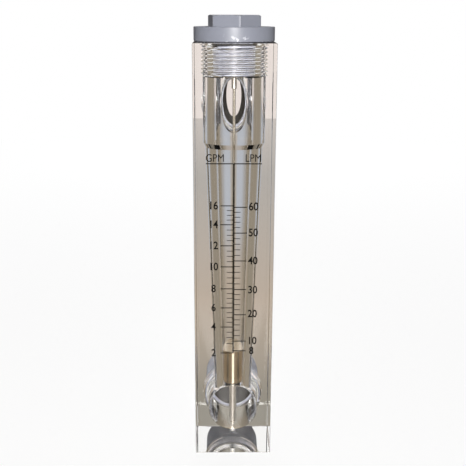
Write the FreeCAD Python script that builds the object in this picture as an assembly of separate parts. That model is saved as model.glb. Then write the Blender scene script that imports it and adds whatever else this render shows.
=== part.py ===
# Panel-mount rotameter: a clear acrylic block bored with a tapered metering tube, a steel float on a
# guide rod, a hexagon-headed plug on top and two threaded pipe adapters at the back.
# Frame: X to the right of the scale, Y from the scale towards the panel, Z up.
# The origin is on the metering axis, in the bottom face of the block. Units are millimetres.
import FreeCAD, Part
import math
import os

Vector = FreeCAD.Vector
UP = Vector(0, 0, 1)
BACK = Vector(0, 1, 0)

# Block
block_width = 44.0
block_height = 237.0
axis_to_front = 25.0            # metering axis to the scale face
axis_to_back = 25.0             # metering axis to the panel face
edge_break = 0.4                # polished-off edges of the block

# The one thread used in the block, for the plug and for both adapters
thread_radius = 18.0            # major radius of the tapped hole
thread_pitch = 2.0
thread_clearance = 0.08         # radial, between male and female thread
thread_lead = 1.5               # 45 degree start of each male thread
tap_drill_radius = thread_radius - thread_pitch / 2

# O-rings
plug_o_ring_section = 1.7
port_o_ring_section = 1.5
o_ring_clearance = 0.05

# Metering tube
metering_bottom_radius = 10.8   # where it opens into the lower port
metering_top_radius = 15.75
taper_end_to_port = 7.6         # from the end of the taper up to the upper port
chamber_shoulder = 2.6          # height of the cone from the taper to the chamber

# Ports, bored from the back
port_radius = 14.6
lower_port_height = 25.2
port_to_plug = 1.3              # from the upper port up to the end of the plug
port_to_front = 14.0            # blind end of the lower port to the scale face
port_thread_depth = 8.5
port_mouth_chamfer = 0.3

# Plug
plug_thread_length = 18.1       # from the mouth of the block
plug_neck_radius = 16.7         # plain neck under the flange, for the O-ring
plug_neck_below_seat = 0.4      # how far the neck goes on below the seat
plug_seat_radius = 18.6         # straight counterbore of the block, which holds the O-ring
plug_seat_depth = 1.6
plug_gap = 0.25                 # the flange stands off the block on its O-ring
plug_flange_radius = block_width / 2    # flush with the sides of the block
plug_flange_thickness = 7.55
plug_flange_chamfer = 0.6
hexagon_across_flats = 26.2
hexagon_height = 6.1
hexagon_chamfer = 0.9
hexagon_turn = 41.0             # degrees from X to the first corner
rod_in_plug = 9.0
upper_port_height = block_height - plug_thread_length - port_to_plug - port_radius
metering_top = upper_port_height - port_radius - taper_end_to_port

# Adapters
adapter_bore_radius = 13.0
adapter_band_length = 6.0       # plain band between the panel face and the pipe thread
pipe_thread_radius = 16.65      # 1 inch pipe thread, major radius, and the band's
pipe_thread_length = 22.0
pipe_lead_in = 1.2

# Guide rod, stop sleeves and float
rod_radius = 1.25
rod_in_floor = 4.8
rod_seat_clearance = 0.03
sleeve_radius = 2.15
sleeve_clearance = 0.04
upper_sleeve_length = 6.9
sleeve_chamfer = 0.25
float_radius = 9.3
float_length = 21.0
float_rest_height = 39.3        # underside of the float on the lower sleeve
float_nose = 1.4                # rounding of the lower edge
float_edge_chamfer = 0.15
float_groove_depth = 0.35
float_groove_width = 0.8
float_groove_height = 2.6       # above the float's underside
float_running_clearance = 0.08
float_seat_gap = 0.05

# Printed scale: heights at which the top of the float reads each flow, in US gallons a minute
scale_points = [(2.0, 64.7), (2.6, 71.8), (4.0, 80.7), (6.0, 92.3), (8.0, 103.7),
                (10.0, 116.6), (12.0, 128.8), (14.0, 140.8), (16.0, 151.4)]
litres_per_gallon = 3.785
gallon_majors = [2, 4, 6, 8, 10, 12, 14, 16]
gallon_minor_step = 0.5
litre_majors = [8, 10, 20, 30, 40, 50, 60]
litre_minor_step = 2.0
ink_thickness = 0.08
scale_centre = -0.2             # the print sits a little left of the metering axis
major_tick_length = 7.2
minor_tick_length = 3.7
major_tick_width = 0.5
minor_tick_width = 0.35
scale_line_width = 0.7
header_line_width = 0.55
header_line_above_scale = 23.1
header_line_height = scale_points[-1][1] + header_line_above_scale
header_half_length = 15.0


def cylinder(radius, bottom, top):
    return Part.makeCylinder(radius, top - bottom, Vector(0, 0, bottom))


def turned(profile):
    """Solid of revolution about Z from (radius, height) points."""
    points = [Vector(radius, 0, height) for radius, height in profile]
    face = Part.Face(Part.makePolygon(points + points[:1]))
    return face.revolve(Vector(0, 0, 0), UP, 360)


def to_port(shape, port_height):
    """Lay a shape made along Z, with the panel face at Z = 0, into a port."""
    laid = shape.copy()
    laid.rotate(Vector(0, 0, 0), Vector(1, 0, 0), -90)
    laid.translate(Vector(0, axis_to_back, port_height))
    return laid


def tapped_hole(depth, mouth):
    """Tapped hole going down from Z = 0, with the (radius, height) points of its mouth."""
    return turned([(0, 0)] + mouth + [(thread_radius, -depth), (0, -depth)])


def o_ring(inner_radius, top, section):
    """O-ring lying under a plane, round something of the inner radius. Its cord is kept eight-sided."""
    centre_radius = inner_radius + o_ring_clearance + section / 2
    centre_height = top - o_ring_clearance - section / 2
    corner_radius = section / 2 / math.cos(math.radians(22.5))
    corners = [math.radians(22.5 + 45 * index) for index in range(8)]
    return turned([(centre_radius + corner_radius * math.cos(angle),
                    centre_height + corner_radius * math.sin(angle)) for angle in corners])


def male_thread(neck_radius, neck_bottom, thread_bottom):
    """(radius, height) points of a thread that goes down from a narrower neck."""
    male_radius = thread_radius - thread_clearance
    lead = male_radius - neck_radius
    return [(neck_radius, neck_bottom), (male_radius, neck_bottom - lead),
            (male_radius, thread_bottom + thread_lead), (male_radius - thread_lead, thread_bottom)]


def metering_radius(height):
    """Radius of the tapered tube at a height."""
    share = (height - lower_port_height) / (metering_top - lower_port_height)
    bottom_share = (float_rest_height - lower_port_height) / (metering_top - lower_port_height)
    growth = (metering_top_radius - metering_bottom_radius) / (1 - bottom_share)
    return metering_bottom_radius + growth * (share - bottom_share)


def make_meter_body():
    block = Part.makeBox(block_width, axis_to_front + axis_to_back, block_height,
                         Vector(-block_width / 2, -axis_to_front, 0))
    block = block.makeChamfer(edge_break, block.Edges)
    chamber_bottom = metering_top + chamber_shoulder
    plug_thread_bottom = block_height - plug_thread_length
    tube = turned([(0, lower_port_height), (metering_radius(lower_port_height), lower_port_height),
                   (metering_top_radius, metering_top), (tap_drill_radius, chamber_bottom),
                   (tap_drill_radius, plug_thread_bottom), (0, plug_thread_bottom)])
    plug_mouth = [(plug_seat_radius, 0), (plug_seat_radius, -plug_seat_depth),
                  (thread_radius, -plug_seat_depth)]
    plug_hole = tapped_hole(plug_thread_length, plug_mouth)
    plug_hole.translate(Vector(0, 0, block_height))
    lower_depth = axis_to_front + axis_to_back - port_to_front
    lower_port = to_port(cylinder(port_radius, -lower_depth, 0), lower_port_height)
    upper_port = to_port(cylinder(port_radius, -axis_to_back, 0), upper_port_height)
    floor_height = lower_port_height - port_radius
    rod_hole = cylinder(rod_radius + rod_seat_clearance, floor_height - rod_in_floor, lower_port_height)
    tools = [tube, plug_hole, lower_port, upper_port, rod_hole]
    port_mouth = [(thread_radius + port_mouth_chamfer, 0), (thread_radius, -port_mouth_chamfer)]
    for port_height in (lower_port_height, upper_port_height):
        tools.append(to_port(tapped_hole(port_thread_depth, port_mouth), port_height))
    return block.cut(tools).removeSplitter()


def make_top_plug():
    flange_top = plug_gap + plug_flange_thickness
    lip = plug_flange_radius - plug_flange_chamfer
    neck_bottom = -plug_seat_depth - plug_neck_below_seat
    outline = [(0, flange_top), (plug_flange_radius, flange_top),
               (plug_flange_radius, plug_gap + plug_flange_chamfer), (lip, plug_gap),
               (plug_neck_radius, plug_gap)]
    outline += male_thread(plug_neck_radius, neck_bottom, -plug_thread_length)
    plug = turned(outline + [(0, -plug_thread_length)])
    plug = plug.fuse(make_hexagon_head(flange_top)).removeSplitter()
    hole = cylinder(rod_radius + rod_seat_clearance, -plug_thread_length, rod_in_plug - plug_thread_length)
    plug = plug.cut(hole)
    plug.translate(Vector(0, 0, block_height))
    return plug


def make_hexagon_head(base):
    """Hexagon with its top corners turned down, standing at a height."""
    corner_radius = hexagon_across_flats / 2 / math.cos(math.radians(30))
    corners = []
    for index in range(7):
        angle = math.radians(hexagon_turn + 60 * index)
        corners.append(Vector(corner_radius * math.cos(angle), corner_radius * math.sin(angle), base))
    prism = Part.Face(Part.makePolygon(corners)).extrude(UP * hexagon_height)
    top = base + hexagon_height
    crown_radius = hexagon_across_flats / 2
    crown = turned([(0, base), (corner_radius + hexagon_chamfer, base),
                    (corner_radius + hexagon_chamfer, top - hexagon_chamfer),
                    (crown_radius, top), (0, top)])
    return prism.common(crown)


def make_adapter(port_height):
    """Pipe adapter: thread in the block, plain band and pipe thread behind, bored right through."""
    pipe_end = adapter_band_length + pipe_thread_length
    male_radius = thread_radius - thread_clearance
    thread_end = port_o_ring_section + 2 * o_ring_clearance - port_thread_depth
    outline = [(adapter_bore_radius, pipe_end), (pipe_thread_radius - pipe_lead_in, pipe_end),
               (pipe_thread_radius, pipe_end - pipe_lead_in), (pipe_thread_radius, 0),
               (male_radius, 0), (male_radius, thread_end + thread_lead),
               (male_radius - thread_lead, thread_end), (adapter_bore_radius, thread_end)]
    return to_port(turned(outline), port_height)


def make_plug_o_ring():
    seal = o_ring(plug_neck_radius, plug_gap, plug_o_ring_section)
    seal.translate(Vector(0, 0, block_height))
    return seal


def make_port_o_ring(port_height):
    """O-ring on the step of a port, under the end of the adapter's thread."""
    adapter_end = port_o_ring_section + 2 * o_ring_clearance - port_thread_depth
    return to_port(o_ring(port_radius, adapter_end, port_o_ring_section), port_height)


def make_guide_rod():
    bottom = lower_port_height - port_radius - rod_in_floor
    top = block_height - plug_thread_length + rod_in_plug
    return cylinder(rod_radius, bottom, top)


def make_sleeve(bottom, top):
    inner = rod_radius + sleeve_clearance
    edge = sleeve_radius - sleeve_chamfer
    return turned([(inner, bottom), (edge, bottom), (sleeve_radius, bottom + sleeve_chamfer),
                   (sleeve_radius, top - sleeve_chamfer), (edge, top), (inner, top)])


def make_lower_sleeve():
    # The floor of the port is round, so the sleeve stands on its two sides where it meets the bore.
    side_rise = port_radius - math.sqrt(port_radius ** 2 - sleeve_radius ** 2)
    floor_height = lower_port_height - port_radius + side_rise
    return make_sleeve(floor_height, float_rest_height - float_seat_gap)


def make_upper_sleeve():
    top = block_height - plug_thread_length
    return make_sleeve(top - upper_sleeve_length, top)


def make_float():
    """Turned float: sharp reading edge on top, rounded nose, shallow groove and guide bore."""
    bottom = float_rest_height
    top = bottom + float_length
    bore = rod_radius + float_running_clearance
    groove_low = bottom + float_groove_height
    groove_high = groove_low + float_groove_width
    groove_radius = float_radius - float_groove_depth
    half = math.sqrt(0.5)
    nose_centre = Vector(float_radius - float_nose, 0, bottom + float_nose)
    nose_middle = nose_centre + Vector(half, 0, -half) * float_nose
    path = [(float_radius, bottom + float_nose), (float_radius, groove_low), (groove_radius, groove_low),
            (groove_radius, groove_high), (float_radius, groove_high),
            (float_radius, top - float_edge_chamfer), (float_radius - float_edge_chamfer, top),
            (bore, top), (bore, bottom), (float_radius - float_nose, bottom)]
    points = [Vector(radius, 0, height) for radius, height in path]
    nose = Part.Arc(points[-1], nose_middle, points[0]).toShape()
    outline = Part.Wire([nose] + Part.makePolygon(points).Edges)
    return Part.Face(outline).revolve(Vector(0, 0, 0), UP, 360)


def scale_height(flow):
    """Height of the float's top at a flow in gallons a minute, between the calibrated points."""
    for (low_flow, low), (high_flow, high) in zip(scale_points, scale_points[1:]):
        if low_flow <= flow <= high_flow:
            return low + (high - low) * (flow - low_flow) / (high_flow - low_flow)
    raise ValueError("flow is off the scale")


def ink_bar(left, right, bottom, top):
    return Part.makeBox(right - left, ink_thickness, top - bottom,
                        Vector(left, -axis_to_front - ink_thickness, bottom))


def major_tick(side, height):
    left, right = (-major_tick_length, 0) if side < 0 else (0, major_tick_length)
    return ink_bar(left, right, height - major_tick_width / 2, height + major_tick_width / 2)


def minor_tick(side, height):
    left, right = (-minor_tick_length, 0) if side < 0 else (0, minor_tick_length)
    return ink_bar(left, right, height - minor_tick_width / 2, height + minor_tick_width / 2)


def minor_flows(majors, step):
    """Flows one step apart from the first major tick to the last, without the major ones."""
    count = int((majors[-1] - majors[0]) / step) + 1
    flows = [majors[0] + index * step for index in range(count)]
    return [flow for flow in flows if flow not in majors]


def make_scale_print():
    half_line = scale_line_width / 2
    bottom = scale_height(gallon_majors[0]) - major_tick_width / 2
    bars = [ink_bar(-half_line, half_line, bottom, header_line_height),
            ink_bar(-header_half_length, header_half_length,
                    header_line_height - header_line_width / 2, header_line_height + header_line_width / 2)]
    bars += [major_tick(-1, scale_height(flow)) for flow in gallon_majors]
    for flow in minor_flows(gallon_majors, gallon_minor_step):
        bars.append(minor_tick(-1, scale_height(flow)))
    bars += [major_tick(1, scale_height(flow / litres_per_gallon)) for flow in litre_majors]
    for litres in minor_flows(litre_majors, litre_minor_step):
        bars.append(minor_tick(1, scale_height(litres / litres_per_gallon)))
    scale = bars[0].fuse(bars[1:]).removeSplitter()
    scale.translate(Vector(scale_centre, 0, 0))
    return scale


def build():
    return {
        "meter_body": make_meter_body(),
        "top_plug": make_top_plug(),
        "plug_o_ring": make_plug_o_ring(),
        "inlet_adapter": make_adapter(lower_port_height),
        "outlet_adapter": make_adapter(upper_port_height),
        "inlet_o_ring": make_port_o_ring(lower_port_height),
        "outlet_o_ring": make_port_o_ring(upper_port_height),
        "guide_rod": make_guide_rod(),
        "lower_stop_sleeve": make_lower_sleeve(),
        "upper_stop_sleeve": make_upper_sleeve(),
        "float": make_float(),
        "scale_print": make_scale_print(),
    }


os.makedirs("parts", exist_ok=True)
for node, shape in build().items():
    solids = shape.Solids
    print(node, "solids", len(solids), "volume", round(shape.Volume, 1), "valid", shape.isValid())
    shape.exportStep("parts/" + node + ".step")
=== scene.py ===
import math

import bmesh
import bpy
import numpy as np
from mathutils import Matrix, Vector


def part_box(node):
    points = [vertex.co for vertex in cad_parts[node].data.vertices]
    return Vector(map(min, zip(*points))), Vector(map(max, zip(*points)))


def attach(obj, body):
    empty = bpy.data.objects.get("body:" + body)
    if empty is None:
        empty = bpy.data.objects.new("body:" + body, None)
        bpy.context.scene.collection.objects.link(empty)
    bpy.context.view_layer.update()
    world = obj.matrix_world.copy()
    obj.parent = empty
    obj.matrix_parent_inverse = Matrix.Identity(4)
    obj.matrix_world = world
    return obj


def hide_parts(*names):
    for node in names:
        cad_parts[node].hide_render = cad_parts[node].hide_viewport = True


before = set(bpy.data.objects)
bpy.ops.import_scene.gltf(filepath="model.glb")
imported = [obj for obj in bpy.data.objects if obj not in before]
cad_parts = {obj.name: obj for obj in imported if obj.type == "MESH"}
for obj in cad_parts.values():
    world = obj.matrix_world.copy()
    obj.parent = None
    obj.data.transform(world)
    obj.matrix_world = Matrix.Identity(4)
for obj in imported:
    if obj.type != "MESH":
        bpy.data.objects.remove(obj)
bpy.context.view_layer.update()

# Shapes are worked out in millimetres and turned into metres as they become meshes.
mm = 0.001
scene = bpy.context.scene
columns = 160                       # points round every turned shape
angles = np.linspace(0, 2 * np.pi, columns + 1)


def nodeBox(node):
    low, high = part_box(node)
    return np.array(low) / mm, np.array(high) / mm


# Places taken from the frame
blockLow, blockHigh = nodeBox("meter_body")
blockTop = blockHigh[2]
panelFace = blockHigh[1]
plugLow, plugHigh = nodeBox("top_plug")
plugBottom = plugLow[2]
inletLow, inletHigh = nodeBox("inlet_adapter")
outletLow, outletHigh = nodeBox("outlet_adapter")
portHeights = {"inlet": (inletLow[2] + inletHigh[2]) / 2, "outlet": (outletLow[2] + outletHigh[2]) / 2}
floatLow, floatHigh = nodeBox("float")


# Nodes and materials

def addNode(tree, kind, settings=None, **sockets):
    # A shader node with its settings and its sockets' values or links. A socket goes by its name, with _ for
    # a space, or by its place as i0, i1 and so on.
    node = tree.nodes.new(kind)
    for name, value in (settings or {}).items():
        setattr(node, name, value)
    for name, value in sockets.items():
        byPlace = name[0] == "i" and name[1:].isdigit()
        socket = node.inputs[int(name[1:]) if byPlace else name.replace("_", " ")]
        if isinstance(value, bpy.types.NodeSocket):
            tree.links.new(value, socket)
        else:
            socket.default_value = value
    return node


def mathNode(tree, operation, first, second=0.0, third=None):
    sockets = {"i0": first, "i1": second}
    if third is not None:
        sockets["i2"] = third
    return addNode(tree, "ShaderNodeMath", {"operation": operation}, **sockets).outputs[0]


def smoothShare(tree, value, start, end):
    # 0 at the start, 1 at the end and a smooth step between.
    step = addNode(tree, "ShaderNodeMapRange", {"interpolation_type": "SMOOTHSTEP"}, Value=value,
                   From_Min=start, From_Max=end)
    return step.outputs[0]


def colourBetween(tree, share, first, second):
    mix = addNode(tree, "ShaderNodeMix", {"data_type": "RGBA"}, Factor=share, i6=first, i7=second)
    return mix.outputs[2]


def newGroup(name, inputs, outputs):
    # A node group. An input without a value is a place, and all others are plain numbers.
    tree = bpy.data.node_groups.new(name, "ShaderNodeTree")
    for label, value in inputs.items():
        kind = "NodeSocketVector" if value is None else "NodeSocketFloat"
        socket = tree.interface.new_socket(label, in_out="INPUT", socket_type=kind)
        if value is not None:
            socket.default_value = value
    for label in outputs:
        tree.interface.new_socket(label, in_out="OUTPUT", socket_type="NodeSocketFloat")
    return tree, tree.nodes.new("NodeGroupInput").outputs, tree.nodes.new("NodeGroupOutput").inputs


handlingNoise = {"fineScale": 22.0, "blotchDetail": 3.0, "grainDetail": 2.0, "middle": 0.5}


def makeHandlingGroup():
    # Soft blotches and fine grain: each noise less a half, times its share. Their sum varies colour and
    # roughness; the fine one is the height of the bump.
    tree, given, out = newGroup("handling", {"Place": None, "Blotch": 0.3, "Grain": 0.3, "Size": 60.0},
                                ("Value", "Height"))
    blotch = addNode(tree, "ShaderNodeTexNoise", Vector=given["Place"], Scale=given["Size"],
                     Detail=handlingNoise["blotchDetail"])
    fineSize = mathNode(tree, "MULTIPLY", given["Size"], handlingNoise["fineScale"])
    grain = addNode(tree, "ShaderNodeTexNoise", Vector=given["Place"], Scale=fineSize,
                    Detail=handlingNoise["grainDetail"])
    shares = []
    for noise, amount in ((blotch, "Blotch"), (grain, "Grain")):
        centred = mathNode(tree, "SUBTRACT", noise.outputs["Fac"], handlingNoise["middle"])
        shares.append(mathNode(tree, "MULTIPLY", centred, given[amount]))
    tree.links.new(mathNode(tree, "ADD", *shares), out["Value"])
    tree.links.new(shares[1], out["Height"])
    return tree


latheNoise = {"scale": 0.37, "detail": 2.0}


def makeTurningGroup():
    # Tool marks of a lathe: a sine of the distance along the axis over the pitch, times a one-way noise.
    tree, given, out = newGroup("turningMarks", {"Along": 0.0, "Pitch": 0.25, "Depth": 1.0},
                                ("Height", "Value"))
    turn = mathNode(tree, "DIVIDE", given["Along"], mathNode(tree, "MULTIPLY", given["Pitch"], mm))
    wave = mathNode(tree, "SINE", mathNode(tree, "MULTIPLY", turn, 2 * math.pi))
    uneven = addNode(tree, "ShaderNodeTexNoise", {"noise_dimensions": "1D"}, W=turn,
                     Scale=latheNoise["scale"], Detail=latheNoise["detail"])
    marks = mathNode(tree, "MULTIPLY", wave, uneven.outputs["Fac"])
    tree.links.new(mathNode(tree, "MULTIPLY", marks, given["Depth"]), out["Height"])
    tree.links.new(mathNode(tree, "MULTIPLY", uneven.outputs["Fac"], given["Depth"]), out["Value"])
    return tree


handlingGroup = makeHandlingGroup()
turningGroup = makeTurningGroup()


def newMaterial(name):
    material = bpy.data.materials.new(name)
    material.use_nodes = True
    tree = material.node_tree
    place = tree.nodes.new("ShaderNodeTexCoord").outputs["Object"]
    return material, tree, tree.nodes["Principled BSDF"], place


def placeGroup(tree, group, **sockets):
    return addNode(tree, "ShaderNodeGroup", {"node_tree": group}, **sockets).outputs


def setBump(tree, shader, height, look):
    bump = addNode(tree, "ShaderNodeBump", Strength=look["bump"], Distance=look["bumpDepth"], Height=height)
    tree.links.new(bump.outputs["Normal"], shader.inputs["Normal"])


def setSurface(tree, material, shader):
    tree.links.new(shader, tree.nodes["Material Output"].inputs["Surface"])
    return material


pvcLook = {
    "greyPvc": {"colour": (0.17, 0.18, 0.218, 1), "pale": (0.215, 0.225, 0.266, 1), "roughness": 0.36,
                "gloss": 0.4},
    # The bores' colour is painted shade: dark and dull where little light reaches inside.
    "pvcBorePaintedShade": {"colour": (0.045, 0.043, 0.042, 1), "pale": (0.062, 0.058, 0.056, 1), "roughness": 0.6,
                "gloss": 0.02},
}
pvcSurface = {"blotch": 0.5, "grain": 0.25, "size": 90.0, "paleShare": 0.4, "uneven": 0.5, "bump": 0.1,
              "bumpDepth": 0.0004}
# Pale colour for wear and painted highlight: a painted highlight along the hexagon's corners, and patches on
# the flange's front that are partly scuffs and partly painted highlight.
wearAndHighlight = {"colour": (0.52, 0.53, 0.58, 1), "arrisHighlight": (14.925, 14.99), "head": 7.9, "scuffAndHighlightHeights": (5.0, 1.0),
        "scuffAndHighlightHalf": (9.0, 4.0), "scuffAndHighlightSize": 420.0, "scuffAndHighlightDetail": 3.0, "scuffAndHighlightNoise": (0.56, 0.66)}


def wornColour(tree, place, colour):
    # Painted highlight where the distance from the axis reaches the hexagon's corners, and pale patches low
    # on the flange's front that are partly scuffs and partly painted highlight: a fine noise over a level,
    # times its shares by height and by distance to the side.
    parts = addNode(tree, "ShaderNodeSeparateXYZ", Vector=place).outputs
    flat = addNode(tree, "ShaderNodeCombineXYZ", X=parts["X"], Y=parts["Y"]).outputs[0]
    radius = addNode(tree, "ShaderNodeVectorMath", {"operation": "LENGTH"}, i0=flat).outputs["Value"]
    # Painted highlight along the hexagon's corners.
    arrisHighlight = smoothShare(tree, radius, *(edge * mm for edge in wearAndHighlight["arrisHighlight"]))
    onHead = mathNode(tree, "GREATER_THAN", parts["Z"], (blockTop + wearAndHighlight["head"]) * mm)
    arrisHighlight = mathNode(tree, "MULTIPLY", arrisHighlight, onHead)
    # Patches low on the flange's front, partly scuffs and partly painted highlight.
    noise = addNode(tree, "ShaderNodeTexNoise", Vector=place, Scale=wearAndHighlight["scuffAndHighlightSize"],
                    Detail=wearAndHighlight["scuffAndHighlightDetail"])
    scuffsAndHighlight = smoothShare(tree, noise.outputs["Fac"], *wearAndHighlight["scuffAndHighlightNoise"])
    low = smoothShare(tree, parts["Z"], *((blockTop + height) * mm for height in wearAndHighlight["scuffAndHighlightHeights"]))
    onFlange = mathNode(tree, "GREATER_THAN", parts["Z"], blockTop * mm)
    aside = mathNode(tree, "ABSOLUTE", parts["X"])
    middle = smoothShare(tree, aside, *(half * mm for half in wearAndHighlight["scuffAndHighlightHalf"]))
    front = mathNode(tree, "LESS_THAN", parts["Y"], 0.0)
    for share in (low, onFlange, middle, front):
        scuffsAndHighlight = mathNode(tree, "MULTIPLY", scuffsAndHighlight, share)
    return colourBetween(tree, mathNode(tree, "MAXIMUM", arrisHighlight, scuffsAndHighlight), colour, wearAndHighlight["colour"])


def makePvc(name):
    # Moulded grey plastic. The outer colour has wear and a painted highlight, and the bores' colour is
    # painted shade, dark and dull.
    look = pvcLook[name]
    material, tree, shader, place = newMaterial(name)
    handling = placeGroup(tree, handlingGroup, Place=place, Blotch=pvcSurface["blotch"],
                          Grain=pvcSurface["grain"], Size=pvcSurface["size"])
    share = mathNode(tree, "ADD", pvcSurface["paleShare"], handling["Value"])
    colour = colourBetween(tree, share, look["colour"], look["pale"])
    if name == "greyPvc":
        colour = wornColour(tree, place, colour)
    tree.links.new(colour, shader.inputs["Base Color"])
    shader.inputs["Specular IOR Level"].default_value = look["gloss"]
    roughness = mathNode(tree, "MULTIPLY_ADD", handling["Value"], pvcSurface["uneven"], look["roughness"])
    tree.links.new(roughness, shader.inputs["Roughness"])
    setBump(tree, shader, handling["Height"], pvcSurface)
    return material


metalLook = {
    "rod": {"colour": (0.66, 0.63, 0.58, 1), "roughness": 0.16, "pitch": 0.4, "depth": 0.12},
    "sleeve": {"colour": (0.50, 0.475, 0.44, 1), "roughness": 0.34, "pitch": 0.3, "depth": 0.08},
    "float": {"colour": (0.68, 0.585, 0.47, 1), "roughness": 0.14, "pitch": 0.22, "depth": 0.3},
}
metalSurface = {"blotch": 0.3, "grain": 0.15, "size": 120.0, "uneven": 0.3, "bump": 0.25,
                "bumpDepth": 0.00005}


def makeMetal(name):
    # Turned or ground steel, with its lathe's marks along the height.
    look = metalLook[name]
    material, tree, shader, place = newMaterial(name + "Steel")
    height = addNode(tree, "ShaderNodeSeparateXYZ", Vector=place).outputs["Z"]
    marks = placeGroup(tree, turningGroup, Along=height, Pitch=look["pitch"], Depth=look["depth"])
    handling = placeGroup(tree, handlingGroup, Place=place, Blotch=metalSurface["blotch"],
                          Grain=metalSurface["grain"], Size=metalSurface["size"])
    shader.inputs["Base Color"].default_value = look["colour"]
    shader.inputs["Metallic"].default_value = 1.0
    uneven = mathNode(tree, "ADD", marks["Value"], handling["Value"])
    roughness = mathNode(tree, "MULTIPLY_ADD", uneven, metalSurface["uneven"], look["roughness"])
    tree.links.new(roughness, shader.inputs["Roughness"])
    setBump(tree, shader, marks["Height"], metalSurface)
    return material


plainLook = {
    "blackRubber": {"colour": (0.012, 0.012, 0.013, 1), "roughness": 0.6, "grain": 0.2, "gloss": 0.2},
    "greySilicone": {"colour": (0.21, 0.21, 0.205, 1), "roughness": 0.4, "grain": 0.1, "gloss": 0.5},
    "screenInk": {"colour": (0.006, 0.0056, 0.005, 1), "roughness": 0.7, "grain": 0.3, "gloss": 0.03},
}
plainSurface = {"blotch": 0.4, "size": 110.0, "darker": 0.7, "share": 0.5, "uneven": 0.4}


def makePlain(name):
    # Rubber, silicone or ink: its colour runs to a darker one over the blotches.
    look = plainLook[name]
    material, tree, shader, place = newMaterial(name)
    shader.inputs["Specular IOR Level"].default_value = look["gloss"]
    handling = placeGroup(tree, handlingGroup, Place=place, Blotch=plainSurface["blotch"],
                          Grain=look["grain"], Size=plainSurface["size"])
    dark = tuple(plainSurface["darker"] * part for part in look["colour"][:3]) + (1,)
    share = mathNode(tree, "ADD", plainSurface["share"], handling["Value"])
    tree.links.new(colourBetween(tree, share, dark, look["colour"]), shader.inputs["Base Color"])
    roughness = mathNode(tree, "MULTIPLY_ADD", handling["Value"], plainSurface["uneven"], look["roughness"])
    tree.links.new(roughness, shader.inputs["Roughness"])
    return material


acrylicLook = {"index": 1.49, "polishedAcrylic": (0.95, 0.945, 0.93, 1), "boredAcrylic": (1, 1, 1, 1),
               "shadow": (0.93, 0.92, 0.91, 1), "bounces": 24}


def makeAcrylic(name):
    # Clear cast acrylic with a trace of tint on its outside; its shadow is pale, as a thick clear block's is.
    material, tree, shader, _ = newMaterial(name)
    shader.inputs["Transmission Weight"].default_value = 1.0
    shader.inputs["IOR"].default_value = acrylicLook["index"]
    shader.inputs["Roughness"].default_value = 0.0
    shader.inputs["Base Color"].default_value = acrylicLook[name]
    clear = addNode(tree, "ShaderNodeBsdfTransparent", Color=acrylicLook["shadow"])
    rays = tree.nodes.new("ShaderNodeLightPath")
    mix = addNode(tree, "ShaderNodeMixShader", Fac=rays.outputs["Is Shadow Ray"],
                  i1=shader.outputs[0], i2=clear.outputs[0])
    return setSurface(tree, material, mix.outputs[0])


materials = {
    "pvc": makePvc("greyPvc"),
    "pvcBorePaintedShade": makePvc("pvcBorePaintedShade"),
    "rod": makeMetal("rod"),
    "sleeve": makeMetal("sleeve"),
    "float": makeMetal("float"),
    "rubber": makePlain("blackRubber"),
    "silicone": makePlain("greySilicone"),
    "ink": makePlain("screenInk"),
    "acrylic": makeAcrylic("polishedAcrylic"),
    "bored": makeAcrylic("boredAcrylic"),
}
print("materials made")


# Meshes

meshing = {"merge": 1e-7, "sharp": 28.0, "ringSharp": 60.0, "blockSharp": 9.0}


def gridQuads(rows, wide, looped):
    # Quads between neighbouring rows and columns and, for a loop, from the last row back to the first.
    row, column = np.meshgrid(np.arange(rows if looped else rows - 1), np.arange(wide - 1), indexing="ij")
    after = (row + 1) % rows
    corners = [row * wide + column, row * wide + column + 1, after * wide + column + 1, after * wide + column]
    return np.stack(corners, -1).reshape(-1, 4)


def skin(points, looped=False):
    # Points and faces of a skin over rows of points, whose last column lies on the first. Rows that aren't
    # looped get a flat cap at each end.
    rows, wide = points.shape[:2]
    faces = gridQuads(rows, wide, looped).tolist()
    if not looped:
        faces += [list(range(wide - 1))[::-1], list(range((rows - 1) * wide, rows * wide - 1))]
    return points.reshape(-1, 3), faces


def joined(*skins):
    points, faces, start = [], [], 0
    for some, theirFaces in skins:
        points.append(some)
        faces += [[index + start for index in face] for face in theirFaces]
        start += len(some)
    return np.concatenate(points), faces


def makeObject(name, shape, material, sharp=meshing["sharp"]):
    # The seam's doubled points and the flattened starts of threads are merged here.
    points, faces = shape
    mesh = bpy.data.meshes.new(name)
    mesh.from_pydata((points * mm).tolist(), [], faces)
    shell = bmesh.new()
    shell.from_mesh(mesh)
    bmesh.ops.remove_doubles(shell, verts=shell.verts, dist=meshing["merge"])
    shell.to_mesh(mesh)
    shell.free()
    mesh.shade_smooth()
    mesh.set_sharp_from_angle(angle=math.radians(sharp))
    mesh.materials.append(material)
    made = bpy.data.objects.new(name, mesh)
    scene.collection.objects.link(made)
    return made


def finishPiece(made, body, slotName, *nodes, even=True):
    # Evened normals keep flat faces flat beside small roundings.
    if even:
        made.modifiers.new("evenNormals", "WEIGHTED_NORMAL").keep_sharp = True
    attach(made, body)
    if nodes:
        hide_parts(*nodes)


def turnedRows(radii, heights, axis="up", offset=0.0):
    # A turned shape: each point stands its radius away from the axis at its angle, and at its height along
    # it. The axis goes up, or back at a height over the base.
    across, around = radii * np.cos(angles), radii * np.sin(angles)
    if axis == "up":
        return np.stack([across, around, heights], -1)
    return np.stack([across, heights, offset - around], -1)


def rowsOf(corners):
    # Radii and heights of plain turned corners, one column for each angle.
    corners = np.array(corners, float)
    return np.repeat(corners[:, :1], columns + 1, 1), np.repeat(corners[:, 1:], columns + 1, 1)


def stacked(*parts):
    # Several lots of rows, one after the other.
    return np.concatenate([part[0] for part in parts]), np.concatenate([part[1] for part in parts])


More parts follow.
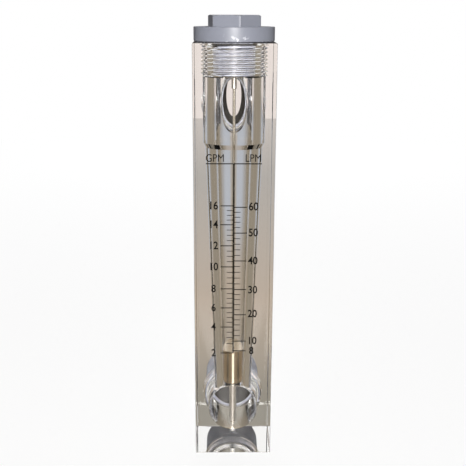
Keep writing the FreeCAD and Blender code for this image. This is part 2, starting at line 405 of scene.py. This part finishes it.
def arcCorners(centre, radius, start, end, count):
    # Points at even angles round a centre, the angles in degrees.
    turn = np.radians(np.linspace(start, end, count))
    return [(centre[0] + radius * math.cos(t), centre[1] + radius * math.sin(t)) for t in turn]


plugThread = {"major": 18.0, "depth": 1.0, "pitch": 2.0, "fade": 0.9, "clearance": 0.1, "lead": 1.4}
pipeThread = {"major": 16.65, "depth": 1.25, "pitch": 2.2, "fade": 1.6, "lead": 1.2}
tooth = {"corners": (0.125, 0.4375, 0.5625, 0.875), "early": 2}     # in pitches, and turns begun early


def threadRows(thread, bottom, top, clearance=0.0):
    # A thread: the four corners of a flat-topped tooth, repeated a pitch apart and raised a pitch for every
    # turn. The heights are held between the ends, and the tooth's depth dies away there.
    pitch, corners, early = thread["pitch"], np.array(tooth["corners"]), tooth["early"]
    turns = math.ceil((top - bottom) / pitch + early + corners[0])
    start = bottom - early * pitch + pitch * (np.arange(turns)[:, None] + corners).ravel()
    heights = np.clip(start[:, None] + pitch * angles / (2 * np.pi), bottom, top)
    share = np.tile([0.0, 1.0, 1.0, 0.0], turns)[:, None]
    fade = thread["fade"]
    ends = np.clip((heights - bottom) / fade, 0, 1) * np.clip((top - heights) / fade, 0, 1)
    return thread["major"] - thread["depth"] * (1 - share * ends) - clearance, heights


def roundedBox(low, high, edge, points):
    # Box with rounded edges: rounded rectangles stacked up, drawn in over a quarter circle at the top and
    # bottom.
    turn = np.radians(np.linspace(0, 90, points))
    inset = np.concatenate([edge * (1 - np.sin(turn)), edge * (1 - np.cos(turn))])
    height = np.concatenate([low[2] + edge * (1 - np.cos(turn)), high[2] - edge * (1 - np.sin(turn))])
    corner = np.concatenate([turn + quarter * np.pi / 2 for quarter in range(4)])
    side = np.repeat([[1, 1], [-1, 1], [-1, -1], [1, -1]], len(turn), 0)
    corner, side = np.append(corner, corner[0]), np.vstack([side, side[:1]])
    half, middle = (high - low) / 2, (high + low) / 2
    rows = []
    for drawn, level in zip(inset, height):
        around = side * (half[:2] - edge) + (edge - drawn) * np.stack([np.cos(corner), np.sin(corner)], -1)
        rows.append(np.column_stack([middle[:2] + around, np.full(len(around), level)]))
    return skin(np.array(rows))


block = {"edge": 0.4, "edgePoints": 5, "rodHole": 1.28, "rodHoleFloor": 5.8}
bore = {"bottomRadius": 10.8, "bottomHeight": 39.3, "topRadius": 15.75, "topHeight": 180.8, "shoulder": 2.6,
        "chamberRadius": 17.0, "seatRadius": 18.6, "seatDepth": 1.6}
port = {"radius": 14.6, "threadDepth": 8.5, "inletFront": -11.0, "outletFront": 0.0, "corner": 0.5,
        "cornerPoints": 10, "mouthChamfer": 0.3}
cutting = {"past": 1.0, "apart": 0.01}      # past the block's faces, and between a thread and its end


def portTool(height, front):
    # Port bored in from the panel face, stepped and tapped for its adapter.
    step, corner, radius = panelFace - port["threadDepth"], port["corner"], port["radius"]
    chamferStart = panelFace - port["mouthChamfer"]
    outside = plugThread["major"] + port["mouthChamfer"]
    floor = arcCorners((radius - corner, front + corner), corner, -90, 0, port["cornerPoints"])
    mouth = rowsOf([(plugThread["major"], chamferStart + cutting["apart"]), (outside, panelFace),
                    (outside, panelFace + cutting["past"])])
    rows = stacked(rowsOf(floor + [(radius, step)]), threadRows(plugThread, step, chamferStart), mouth)
    return skin(turnedRows(*rows, axis="back", offset=height))


def tubeTool():
    # Metering tube, chamber and tapped mouth. The taper's radius grows evenly with height.
    slope = (bore["topRadius"] - bore["bottomRadius"]) / (bore["topHeight"] - bore["bottomHeight"])
    start = portHeights["inlet"]
    startRadius = bore["bottomRadius"] - slope * (bore["bottomHeight"] - start)
    chamber = bore["chamberRadius"]
    tube = rowsOf([(startRadius, start), (bore["topRadius"], bore["topHeight"]),
                   (chamber, bore["topHeight"] + bore["shoulder"]), (chamber, plugBottom)])
    seatFloor, seatRadius = blockTop - bore["seatDepth"], bore["seatRadius"]
    thread = threadRows(plugThread, plugBottom, seatFloor - cutting["apart"])
    seat = rowsOf([(plugThread["major"], seatFloor), (seatRadius, seatFloor),
                   (seatRadius, blockTop + cutting["past"])])
    return skin(turnedRows(*stacked(tube, thread, seat)))


def cutAway(target, tools):
    for tool in tools:
        cut = target.modifiers.new("cut", "BOOLEAN")
        cut.operation = "DIFFERENCE"
        cut.object = tool
        cut.solver = "MANIFOLD"
        cut.material_mode = "TRANSFER"
    bpy.context.view_layer.update()
    depsgraph = bpy.context.evaluated_depsgraph_get()
    mesh = bpy.data.meshes.new_from_object(target.evaluated_get(depsgraph))
    target.modifiers.clear()
    target.data = mesh
    for tool in tools:
        bpy.data.objects.remove(tool)


def makeBlock():
    outside = roundedBox(blockLow, blockHigh, block["edge"], block["edgePoints"])
    made = makeObject("acrylicBlock", outside, materials["acrylic"])
    rodHole = rowsOf([(block["rodHole"], block["rodHoleFloor"]), (block["rodHole"], portHeights["inlet"])])
    shapes = [tubeTool(), portTool(portHeights["inlet"], port["inletFront"]),
              portTool(portHeights["outlet"], port["outletFront"]), skin(turnedRows(*rodHole))]
    tools = [makeObject("tool%d" % index, shape, materials["bored"]) for index, shape in enumerate(shapes)]
    cutAway(made, tools)
    made.data.shade_smooth()
    made.data.set_sharp_from_angle(angle=math.radians(meshing["blockSharp"]))
    finishPiece(made, "meter", "acrylic", "meter_body", even=False)
    print("block cut:", len(made.data.polygons), "faces,", len(made.data.materials), "materials")


plug = {"gap": 0.25, "flangeRadius": 22.0, "lowerEdge": 0.5, "upperEdge": 0.3, "flangeTop": 7.8,
        "neckRadius": 16.7, "neckBottom": -2.0, "threadEnd": 0.4, "flats": 26.2, "corner": 15.2,
        "turn": 41.0, "sharpness": 70.0, "headSunk": 0.2, "headChamfer": 0.9, "headLevels": 10}


def hexagonRadius(angle, flats, turn, sharpness):
    # Half the flats over a high power mean of the cosines to the three flat directions, so corners are a
    # little round.
    turned = angle - math.radians(turn + 30)
    spread = sum(np.abs(np.cos(turned - k * math.pi / 3)) ** sharpness for k in range(3))
    return flats / 2 / spread ** (1 / sharpness)


def makePlug():
    # Thread, neck and flange are turned. The hexagon's corners are cut back by a rounded crown: its radius
    # grows from half the flats with the sine of the depth below the top.
    top = blockTop + plug["flangeTop"]
    under = blockTop + plug["gap"]
    neckBottom = blockTop + plug["neckBottom"]
    clearance = plugThread["clearance"]
    radii, heights = threadRows(plugThread, plugBottom, neckBottom - plug["threadEnd"], clearance)
    lead = plugThread["major"] - plugThread["lead"] - clearance
    radii = np.minimum(radii, lead + heights - plugBottom)
    radius, lower, upper = plug["flangeRadius"], plug["lowerEdge"], plug["upperEdge"]
    flange = [(plug["neckRadius"], neckBottom), (plug["neckRadius"], under)]
    flange += arcCorners((radius - lower, under + lower), lower, -90, 0, 5)
    flange += arcCorners((radius - upper, top - upper), upper, 0, 90, 4)
    body = skin(turnedRows(*stacked((radii, heights), rowsOf(flange))))
    headTop, chamfer, half = plugHigh[2], plug["headChamfer"], plug["flats"] / 2
    levels = np.append(top - plug["headSunk"], headTop - np.linspace(chamfer, 0, plug["headLevels"]))
    levels = np.repeat(levels[:, None], columns + 1, 1)
    outline = hexagonRadius(angles, plug["flats"], plug["turn"], plug["sharpness"])
    rise = np.clip((headTop - levels) / chamfer, 0, 1)
    crown = half + (plug["corner"] - half) * np.sin(rise * np.pi / 2)
    head = skin(turnedRows(np.minimum(outline, crown), levels))
    piece = makeObject("threadedPlug", joined(body, head), materials["pvc"])
    finishPiece(piece, "meter", "grey_pvc", "top_plug")


adapter = {"band": 6.0, "boreRadius": 13.0, "boreShadeRadius": 13.35, "outerEdge": 0.3, "innerEdge": 0.2,
           "apart": 0.02}


def finishWithin(piece, height, radius, material):
    # A second material, painted dark as shade, for the faces whose middle is nearer to a port's axis than a
    # radius.
    mesh = piece.data
    mesh.materials.append(material)
    middles = np.empty(len(mesh.polygons) * 3)
    mesh.polygons.foreach_get("center", middles)
    middles = middles.reshape(-1, 3) / mm
    within = np.hypot(middles[:, 0], middles[:, 2] - height) < radius
    mesh.polygons.foreach_set("material_index", within.astype(int))
    mesh.update()


def makeAdapter(name, node, height, low, high):
    # One loop round the section: thread in the block, plain band, pipe thread, and the bore back through it.
    start, end, apart = low[1], high[1], adapter["apart"]
    bandEnd = panelFace + adapter["band"]
    clearance = plugThread["clearance"]
    radii, heights = threadRows(plugThread, start, panelFace - apart, clearance)
    lead = plugThread["major"] - plugThread["lead"] - clearance
    inBlock = np.minimum(radii, lead + heights - start), heights
    band = rowsOf([(pipeThread["major"], panelFace), (pipeThread["major"], bandEnd)])
    radii, heights = threadRows(pipeThread, bandEnd + apart, end)
    outside = np.minimum(radii, pipeThread["major"] - pipeThread["lead"] + end - heights), heights
    radius, outer, inner = adapter["boreRadius"], adapter["outerEdge"], adapter["innerEdge"]
    inside = rowsOf([(radius + outer, end), (radius, end - outer), (radius, start + inner),
                     (radius + inner, start)])
    rows = turnedRows(*stacked(inBlock, band, outside, inside), axis="back", offset=height)
    piece = makeObject(name, skin(rows, looped=True), materials["pvc"])
    # The bore's faces get the painted shade.
    finishWithin(piece, height, adapter["boreShadeRadius"], materials["pvcBorePaintedShade"])
    finishPiece(piece, "meter", "grey_pvc", node)


seals = [  # name, node, axis, cord, material, slot
    ("plugSeal", "plug_o_ring", "up", 1.7, "rubber", "black_rubber"),
    ("inletSeal", "inlet_o_ring", "back", 1.5, "silicone", "silicone"),
    ("outletSeal", "outlet_o_ring", "back", 1.5, "silicone", "silicone"),
]
cordPoints = 16


def ringRows(node, axis, cord):
    # An O-ring that fills its node's box: a circle of the cord carried round the axis.
    low, high = nodeBox(node)
    along = 1 if axis == "back" else 2
    outer = (high[0] - low[0]) / 2
    middle = (low[along] + high[along]) / 2
    offset = (low[2] + high[2]) / 2 if axis == "back" else 0.0
    lastAngle = 180 - 360 / cordPoints
    circle = arcCorners((outer - cord / 2, middle), cord / 2, -180, lastAngle, cordPoints)
    return skin(turnedRows(*rowsOf(circle), axis=axis, offset=offset), looped=True)


def makeSeals():
    for name, node, axis, cord, material, slotName in seals:
        piece = makeObject(name, ringRows(node, axis, cord), materials[material], sharp=meshing["ringSharp"])
        finishPiece(piece, "meter", slotName, node)


guide = {"rodRadius": 1.25, "rodEdge": 0.3, "sleeveRadius": 2.15, "sleeveBore": 1.29, "sleeveEdge": 0.25}


def sleeveCorners(bottom, top):
    # Corners round the section of a plain sleeve.
    outer, inner, edge = guide["sleeveRadius"], guide["sleeveBore"], guide["sleeveEdge"]
    return [(outer - edge, bottom), (outer, bottom + edge), (outer, top - edge), (outer - edge, top),
            (inner, top), (inner, bottom)]


def makeGuide():
    low, high = nodeBox("guide_rod")
    edge, radius = guide["rodEdge"], guide["rodRadius"]
    rod = rowsOf([(radius - edge, low[2]), (radius, low[2] + edge), (radius, high[2] - edge),
                  (radius - edge, high[2])])
    piece = makeObject("guideRod", skin(turnedRows(*rod)), materials["rod"])
    finishPiece(piece, "meter", "stainless", "guide_rod")
    for name, node in (("lowerStop", "lower_stop_sleeve"), ("upperStop", "upper_stop_sleeve")):
        low, high = nodeBox(node)
        corners = sleeveCorners(low[2], high[2])
        piece = makeObject(name, skin(turnedRows(*rowsOf(corners)), looped=True), materials["sleeve"])
        finishPiece(piece, "meter", "stainless", node)


weight = {"radius": 9.3, "bore": 1.33, "nose": 1.4, "nosePoints": 9, "edge": 0.15, "grooveHeight": 2.6,
          "grooveWidth": 0.8, "grooveDepth": 0.35}


def makeFloat():
    # Round its section: rounded nose, side with a groove, sharp reading edge, and the guide bore.
    bottom, top = floatLow[2], floatHigh[2]
    radius, nose, edge = weight["radius"], weight["nose"], weight["edge"]
    grooveBottom = bottom + weight["grooveHeight"]
    grooveTop = grooveBottom + weight["grooveWidth"]
    grooved = radius - weight["grooveDepth"]
    corners = arcCorners((radius - nose, bottom + nose), nose, -90, 0, weight["nosePoints"])
    corners += [(radius, grooveBottom), (grooved, grooveBottom), (grooved, grooveTop), (radius, grooveTop),
                (radius, top - edge), (radius - edge, top), (weight["bore"], top), (weight["bore"], bottom)]
    piece = makeObject("turnedFloat", skin(turnedRows(*rowsOf(corners)), looped=True), materials["float"])
    finishPiece(piece, "float", "float_steel", "float")


makeBlock()
makePlug()
makeAdapter("inletAdapter", "inlet_adapter", portHeights["inlet"], inletLow, inletHigh)
makeAdapter("outletAdapter", "outlet_adapter", portHeights["outlet"], outletLow, outletHigh)
makeSeals()
makeGuide()
makeFloat()
print("turned pieces made")

# Print on the scale face: the lines come with the frame, the numbers and unit marks are set here.
printed = {"size": 6.2, "boldness": 0.11, "narrow": 0.85, "depth": 0.05, "clear": 0.005, "underLine": 1.9,
           "unitHeight": 175.6, "unitSize": 5.9, "unitBoldness": 0.0}
columnsLeft = {"leftTwo": -13.9, "leftOne": -12.6, "rightTwo": 7.9, "rightOne": 8.9, "leftUnit": -15.4,
               "rightUnit": 5.7}
scaleMarks = {"left": [(2, 64.7), (4, 80.7), (6, 92.3), (8, 103.7), (10, 116.6), (12, 128.8), (14, 140.8),
                       (16, 151.4)],
              "right": [(8, 66.0), (10, 72.2), (20, 88.7), (30, 103.0), (40, 120.1), (50, 136.2),
                        (60, 150.9)]}


def markMesh(text, left, bottom, size, boldness):
    # Text stood up on the scale face, as a thin mesh.
    curve = bpy.data.curves.new("mark", "FONT")
    curve.body = text
    curve.size = size * mm
    curve.offset = boldness * mm
    curve.extrude = printed["depth"] / 2 * mm
    holder = bpy.data.objects.new("mark", curve)
    scene.collection.objects.link(holder)
    bpy.context.view_layer.update()
    mesh = bpy.data.meshes.new_from_object(holder.evaluated_get(bpy.context.evaluated_depsgraph_get()))
    bpy.data.objects.remove(holder)
    face = blockLow[1] - printed["depth"] / 2 - printed["clear"]
    upright = Matrix.Rotation(math.radians(90), 4, "X") @ Matrix.Scale(printed["narrow"], 4, (1, 0, 0))
    mesh.transform(Matrix.Translation(Vector((left, face, bottom)) * mm) @ upright)
    return mesh


def makeMarks():
    meshes = []
    for side, marks in scaleMarks.items():
        for number, height in marks:
            left = columnsLeft[side + ("Two" if number > 9 else "One")]
            bottom = height - printed["underLine"]
            meshes.append(markMesh(str(number), left, bottom, printed["size"], printed["boldness"]))
    for text, side in (("GPM", "leftUnit"), ("LPM", "rightUnit")):
        meshes.append(markMesh(text, columnsLeft[side], printed["unitHeight"], printed["unitSize"],
                               printed["unitBoldness"]))
    skins = []
    for mesh in meshes:
        flat = np.empty(len(mesh.vertices) * 3)
        mesh.vertices.foreach_get("co", flat)
        skins.append((flat.reshape(-1, 3) / mm, [list(face.vertices) for face in mesh.polygons]))
        bpy.data.meshes.remove(mesh)
    piece = makeObject("scaleNumbers", joined(*skins), materials["ink"])
    finishPiece(piece, "meter", "ink", even=False)


makeMarks()
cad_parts["scale_print"].material_slots[0].material = materials["ink"]
print("scale printed")


# Studio

studio = {"half": 6.0, "floorLevel": -0.5, "floorColour": (0.86, 0.86, 0.86, 1), "floorRoughness": 0.8,
          "floorBounce": (0.18, 0.18, 0.18, 1), "floorGlow": 0.85, "glowReach": (0.25, 1.2),
          "worldDiffuse": 0.02}


def seenRays(tree):
    # 1 for rays from the camera, off shiny things and through glass, as long as they have met nothing dull.
    rays = tree.nodes.new("ShaderNodeLightPath").outputs
    seen = mathNode(tree, "MAXIMUM", rays["Is Camera Ray"], rays["Is Glossy Ray"])
    seen = mathNode(tree, "MAXIMUM", seen, rays["Is Transmission Ray"])
    return mathNode(tree, "MULTIPLY", seen, mathNode(tree, "LESS_THAN", rays["Diffuse Depth"], 0.5))


def makeWorld():
    world = bpy.data.worlds.new("paleStudio")
    world.use_nodes = True
    scene.world = world
    tree = world.node_tree
    shade = tree.nodes["Background"]
    level = addNode(tree, "ShaderNodeMix", {"data_type": "FLOAT"}, i0=seenRays(tree),
                    i2=studio["worldDiffuse"], i3=1.0)
    shade.inputs["Color"].default_value = (1, 1, 1, 1)
    tree.links.new(level.outputs[0], shade.inputs["Strength"])


def makeSheet(name, corners, material):
    mesh = bpy.data.meshes.new(name)
    mesh.from_pydata(corners, [], [(0, 1, 2, 3)])
    mesh.materials.append(material)
    made = bpy.data.objects.new(name, mesh)
    scene.collection.objects.link(made)
    return made


def levelCorners(level):
    half, level = studio["half"], level * mm
    return [(-half, -half, level), (half, -half, level), (half, half, level), (-half, half, level)]


def makeFloor():
    # Pale and lit near the object, where it keeps the shadow, and plain white far off. It is darker to light
    # that dull things throw on it.
    material, tree, shader, place = newMaterial("paleFloor")
    dull = tree.nodes.new("ShaderNodeLightPath").outputs["Diffuse Depth"]
    colour = colourBetween(tree, dull, studio["floorColour"], studio["floorBounce"])
    tree.links.new(colour, shader.inputs["Base Color"])
    shader.inputs["Roughness"].default_value = studio["floorRoughness"]
    shader.inputs["Specular IOR Level"].default_value = 0.0
    glow = addNode(tree, "ShaderNodeEmission", Color=(1, 1, 1, 1), Strength=1.0)
    away = addNode(tree, "ShaderNodeVectorMath", {"operation": "LENGTH"}, i0=place).outputs["Value"]
    start, end = studio["glowReach"]
    reach = addNode(tree, "ShaderNodeMapRange", Value=away, From_Min=start, From_Max=end,
                    To_Min=studio["floorGlow"], To_Max=1.0)
    share = mathNode(tree, "MULTIPLY", reach.outputs[0], seenRays(tree))
    mix = addNode(tree, "ShaderNodeMixShader", Fac=share, i1=shader.outputs[0], i2=glow.outputs[0])
    makeSheet("paleFloor", levelCorners(studio["floorLevel"]), setSurface(tree, material, mix.outputs[0]))


# A bench sheet that only shiny and clear things see, just over the floor. Behind the object it goes from
# shade through tan and grey to pale, by distance in metres. It is darker to the sides and bluer a little
# aside, and in front it is tan with a pale streak down the middle. Directions are shares of the distance.
# Colours are screen values.
bench = {"level": -0.3, "far": 5.0, "near": 0.03,
         "behind": [(0.07, (155, 150, 140)), (0.25, (190, 175, 160)), (0.8, (180, 175, 170)),
                    (3.0, (230, 220, 215))],
         "blue": (190, 195, 205), "blueAside": (0.12, 0.24), "blueDistance": (0.25, 0.5),
         "side": (150, 140, 125), "sideAside": (0.45, 0.9),
         "front": (150, 135, 110), "frontAhead": (0.2, 0.5),
         "streak": (250, 245, 240), "streakAside": (0.2, 0.13), "streakDistance": (0.15, 0.25),
         "streakGain": 2.8}
rearCard = {"low": (240, 230, 225), "high": (175, 165, 145), "fade": (0.2, 0.45), "away": 1.5, "half": 1.6,
            "top": 0.84}
outsideShare = 0.15                 # how much of the cards is seen that isn't seen through the acrylic


def screenColour(values):
    # A screen value's light: the share over 0.055, scaled by 1.055 and raised to 2.4.
    return tuple(((value / 255 + 0.055) / 1.055) ** 2.4 for value in values) + (1,)


def makeCard(name, material, tree, colour, corners):
    # A card seen only by shiny and clear things, and weaker where it isn't seen through the acrylic.
    clear = addNode(tree, "ShaderNodeBsdfTransparent")
    rays = tree.nodes.new("ShaderNodeLightPath").outputs
    inside = mathNode(tree, "GREATER_THAN", rays["Transmission Depth"], 0.5)
    strength = mathNode(tree, "MULTIPLY_ADD", inside, 1.0 - outsideShare, outsideShare)
    glow = addNode(tree, "ShaderNodeEmission", Color=colour, Strength=strength)
    mix = addNode(tree, "ShaderNodeMixShader", Fac=seenRays(tree), i1=clear.outputs[0], i2=glow.outputs[0])
    sheet = makeSheet(name, corners, setSurface(tree, material, mix.outputs[0]))
    sheet.visible_camera = sheet.visible_diffuse = sheet.visible_shadow = False


def benchRamp(tree, distance):
    # The colours behind the object, spaced by the logarithm of their distance.
    span = math.log(bench["far"] / bench["near"])
    reach = mathNode(tree, "LOGARITHM", mathNode(tree, "DIVIDE", distance, bench["near"]), math.e)
    ramp = addNode(tree, "ShaderNodeValToRGB", Fac=mathNode(tree, "DIVIDE", reach, span))
    stops = ramp.color_ramp.elements
    for index, (away, colour) in enumerate(bench["behind"]):
        at = math.log(away / bench["near"]) / span
        stop = stops[index] if index < 2 else stops.new(at)
        stop.position, stop.color = at, screenColour(colour)
    return ramp.outputs["Color"]


def makeBench():
    material, tree, _, place = newMaterial("benchSheet")
    distance = addNode(tree, "ShaderNodeVectorMath", {"operation": "LENGTH"}, i0=place).outputs["Value"]
    parts = addNode(tree, "ShaderNodeSeparateXYZ", Vector=place).outputs
    aside = mathNode(tree, "DIVIDE", mathNode(tree, "ABSOLUTE", parts["X"]), distance)
    ahead = mathNode(tree, "DIVIDE", mathNode(tree, "MULTIPLY", parts["Y"], -1.0), distance)
    blue = mathNode(tree, "MULTIPLY", smoothShare(tree, aside, *bench["blueAside"]),
                    smoothShare(tree, distance, *bench["blueDistance"]))
    colour = colourBetween(tree, blue, benchRamp(tree, distance), screenColour(bench["blue"]))
    onSide = smoothShare(tree, aside, *bench["sideAside"])
    colour = colourBetween(tree, onSide, colour, screenColour(bench["side"]))
    pale = screenColour(bench["streak"])
    bright = tuple(bench["streakGain"] * part for part in pale[:3]) + (1,)
    streak = colourBetween(tree, smoothShare(tree, distance, *bench["streakDistance"]), bright, pale)
    inStreak = smoothShare(tree, aside, *bench["streakAside"])
    front = colourBetween(tree, inStreak, screenColour(bench["front"]), streak)
    colour = colourBetween(tree, smoothShare(tree, ahead, *bench["frontAhead"]), colour, front)
    makeCard("benchSheet", material, tree, colour, levelCorners(bench["level"]))


def makeRearCard():
    material, tree, _, place = newMaterial("rearCard")
    height = addNode(tree, "ShaderNodeSeparateXYZ", Vector=place).outputs["Z"]
    colour = colourBetween(tree, smoothShare(tree, height, *rearCard["fade"]), screenColour(rearCard["low"]),
                           screenColour(rearCard["high"]))
    half, away, top = rearCard["half"], rearCard["away"], rearCard["top"]
    corners = [(-half, away, 0), (half, away, 0), (half, away, top), (-half, away, top)]
    makeCard("rearCard", material, tree, colour, corners)


lamps = [  # name, place, width, height, power, colour
    ("frontSoftbox", (0.0, -1.35, 0.45), 0.28, 0.5, 33.0, (1.0, 0.985, 0.96)),
    ("topSoftbox", (-0.2, -0.1, 1.2), 0.7, 0.7, 1.3, (1.0, 0.99, 0.98)),
    ("backSoftbox", (0.05, 1.4, 0.7), 0.8, 0.8, 18.0, (0.97, 0.98, 1.0)),
]
lampAim = 0.6                       # share of the block's height that the lamps point at
hiddenLamp = "backSoftbox"          # lights the back, and isn't seen in shiny or clear things


def makeLamps():
    aim = Vector((0, 0, blockTop * lampAim * mm))
    for name, place, width, height, power, colour in lamps:
        lamp = bpy.data.lights.new(name, "AREA")
        lamp.shape, lamp.size, lamp.size_y = "RECTANGLE", width, height
        lamp.energy, lamp.color = power, colour
        holder = bpy.data.objects.new(name, lamp)
        holder.location = place
        holder.rotation_euler = (aim - Vector(place)).to_track_quat("-Z", "Y").to_euler()
        scene.collection.objects.link(holder)
        holder.visible_glossy = holder.visible_transmission = name != hiddenLamp


view = {"place": (-6.23, -428.9, 251.8), "turn": -0.81, "down": 15.98, "roll": 0.254, "lens": 59.35,
        "sensor": 36, "clip": (0.01, 50)}


def makeCamera():
    # The camera looks back and down, turned a little about the upright axis and rolled about its own.
    camera = bpy.data.cameras.new("bench")
    camera.lens = view["lens"]
    camera.sensor_width = view["sensor"]
    camera.clip_start, camera.clip_end = view["clip"]
    holder = bpy.data.objects.new("bench", camera)
    turn, down, roll = (math.radians(view[name]) for name in ("turn", "down", "roll"))
    forward = Matrix.Rotation(turn, 3, "Z") @ Vector((0, math.cos(down), -math.sin(down)))
    right = Matrix.Rotation(turn, 3, "Z") @ Vector((1, 0, 0))
    up = right.cross(forward)
    across = math.cos(roll) * right + math.sin(roll) * up
    upright = -math.sin(roll) * right + math.cos(roll) * up
    place = Matrix((across, upright, -forward)).transposed().to_4x4()
    place.translation = Vector(view["place"]) * mm
    holder.matrix_world = place
    scene.collection.objects.link(holder)
    scene.camera = holder


makeWorld()
makeFloor()
makeBench()
makeRearCard()
makeLamps()
makeCamera()
scene.view_settings.view_transform = "Standard"
scene.cycles.max_bounces = scene.cycles.transmission_bounces = acrylicLook["bounces"]
print("studio ready")
